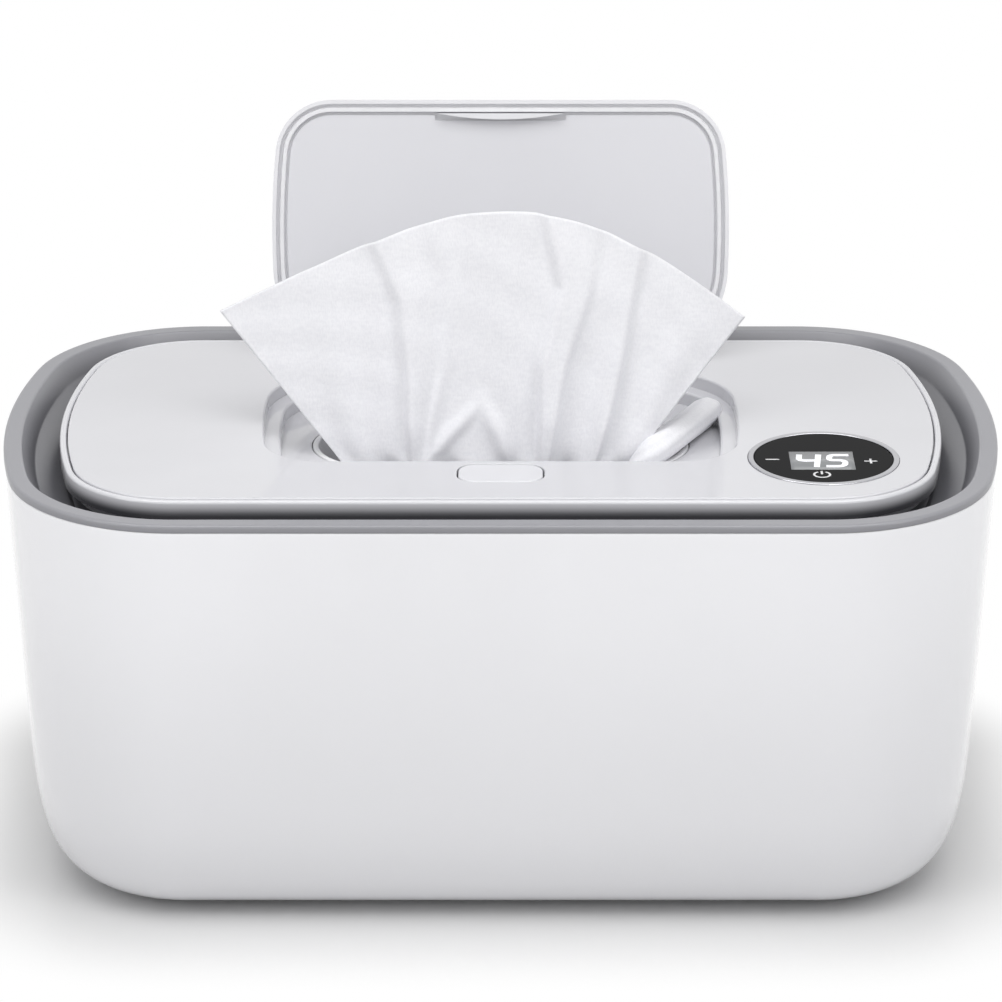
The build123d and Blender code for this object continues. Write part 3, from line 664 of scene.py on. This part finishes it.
THROAT_FOOT, THROAT_TOP = 0.30, 0.40    # shares of the sheet's height at the mouth's two ends
THROAT_DEPTH = 14.0
across = np.linspace(-1, 1, 241)[None]
up = np.linspace(0, 1, 150)[:, None]
rise = np.clip((up - THROAT_TOP) / (1 - THROAT_TOP), 0, 1)
below = np.clip((THROAT_FOOT - up) / THROAT_FOOT, 0, 1)
through = np.clip((up - THROAT_FOOT) / (THROAT_TOP - THROAT_FOOT), 0, 1)
edge_x = np.array([-70, -49.9, -31.2, -15, 0, 14.8, 29.7, 47.2, 61])
edge_z = np.array([141.2, 150.8, 158.9, 164.6, 166.9, 165.6, 160.1, 149.8, 139.5])
top_x = -4.5 + 65.5 * across
top_z = np.interp(top_x, edge_x, edge_z)
top_z = smoothed(top_z[0], 18)[None]
mouth_x = -2.4 + 36.6 * across - 1.2 * across ** 2
low_x, low_z = 52.0 * across, 34.0 + 7.0 * across ** 2
x = mouth_x * (0.86 + 0.14 * through) + (top_x - mouth_x) * rise + (low_x - mouth_x * 0.86) * below
z = MOUTH_Z - THROAT_DEPTH * (1 - through) + (top_z - MOUTH_Z) * rise
z = z + (low_z - MOUTH_Z + THROAT_DEPTH) * below
# Each ridge: its place across the sheet at four heights, width, height and how steep its flanks are.
ridges = [
    ([-0.525, -0.40, -0.357, -0.40], 0.075, 3.4, 3.2, 0.9),
    ([0.345, 0.295, 0.348, 0.255], 0.080, 3.6, 3.4, 0.8),
    ([0.40, 0.40, 0.443, 0.436], 0.040, 1.5, 1.0, 2.4),
    ([0.73, 0.674, 0.62, 0.594], 0.060, 3.2, 0.9, 3.0),
    ([-0.86, -0.746, -0.66, -0.596], 0.080, 1.5, 1.0, 1.2),
    ([-0.432, -0.22, -0.145, -0.197], 0.035, 0.9, 1.4, 1.0),
    ([0.10, 0.12, 0.10, 0.08], 0.080, 1.6, 1.0, 1.0),
    ([0.96, 0.90, 0.86, 0.84], 0.060, 1.4, 1.0, 1.0),
]
depth = np.zeros_like(x)
for line, width, height, left, right in ridges:
    line = np.interp(rise, [0, 0.4, 0.72, 1], line)
    depth += pleat(across, line, width * (1 + 0.5 * rise), height * (1 - 0.62 * rise ** 1.4), left, right)
arms = [foot + (-0.04 - foot) * np.clip(rise / 0.25, 0, 1) for foot in (-0.42, 0.115)]
flap = np.maximum(pleat(across, arms[0], 0.06, 1.5), pleat(across, arms[1], 0.06, 1.5))
depth += flap * np.clip((0.30 - rise) / 0.16, 0, 1)
crumple = 0.22 * np.sin(across * 23 + up * 17) * np.sin(up * 29 - across * 9) * (0.3 + 0.7 * rise)
crumple += 0.5 * np.sin(across * 5.2 + 0.8) * rise
folds = 3.4 * np.sin(across * 15.0 + 0.6 * np.sin(up * 9)) + 1.3 * np.sin(across * 31 + 2.0 + up * 5)
gather = 1 / (1 + np.exp((up - 0.36) / 0.02))
lean = LEAN * np.clip(z - MOUTH_Z, 0, None)
depth *= (1 - gather) * (0.55 + 0.45 * np.clip(rise * 6, 0, 1))
y = MOUTH_Y + lean - depth - crumple + folds * gather * 1.2
wipe_grid = np.stack([x + 0 * up, y, z + 0 * across], -1)

path = np.array([
    (33.0, -10.0, 95.0), (35.0, -12.5, 101.0), (37.6, -14.0, 105.4), (41.0, -11.5, 107.4),
    (45.5, -3.0, 107.7), (49.5, 5.5, 107.5), (52.3, 12.0, 107.2), (54.3, 17.5, 106.9),
])
along = np.linspace(0, 7, 60)
path = np.stack([np.interp(along, np.arange(8), path[:, k]) for k in range(3)], -1)
path = np.stack([smoothed(path[:, k], 4) for k in range(3)], -1)
ahead = np.gradient(path, axis=0)
ahead /= np.linalg.norm(ahead, axis=1, keepdims=True)
side = np.cross(ahead, (0, 0, 1))
side /= np.linalg.norm(side, axis=1, keepdims=True)
over = np.cross(side, ahead)
girth = 3.5 * (1 - np.clip((along - 5.9) / 1.1, 0, 1) ** 2.6) ** 0.5 + 0.02
turn = np.linspace(0, 2 * math.pi, 72, endpoint=False)[None]
swell = 1 + 0.035 * np.sin(3 * turn + along[:, None]) + 0.03 * np.sin(7 * turn - 0.6 * along[:, None])
swell = swell * girth[:, None]
roll = path[:, None] + (swell * 1.06 * np.cos(turn))[..., None] * side[:, None]
roll = roll + (swell * 0.94 * np.sin(turn))[..., None] * over[:, None]

wipe_mesh = grid_mesh("wipe", [(wipe_grid[::-1], False, False), (roll, False, True)])
cloth = Finish("wipe_cloth")
fibres = cloth.cloud(2600, 4, stretch=(1, 1, 0.35))
slubs = cloth.cloud(1300, 3, stretch=(0.3, 1, 1), turn=(0, 0.5, 0))
damp = cloth.cloud(45, 3)
web = fibres * 0.6 + slubs * 0.4
cloth.surface(
    Base_Color=cloth.mix(cloth.ease(web, 0.3, 0.7), shade(234, 234, 238), shade(243, 243, 246)),
    Roughness=cloth.ease(damp, 0.35, 0.65, 0.5, 0.72), Normal=cloth.relief(web, 0.00006),
)
wipe = put("wipe", wipe_mesh, cloth)
thick = wipe.modifiers.new("thickness", "SOLIDIFY")
thick.thickness, thick.offset = 0.00035, 0
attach(wipe, "lid")
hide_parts("wipe_sheet")
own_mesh(wipe)
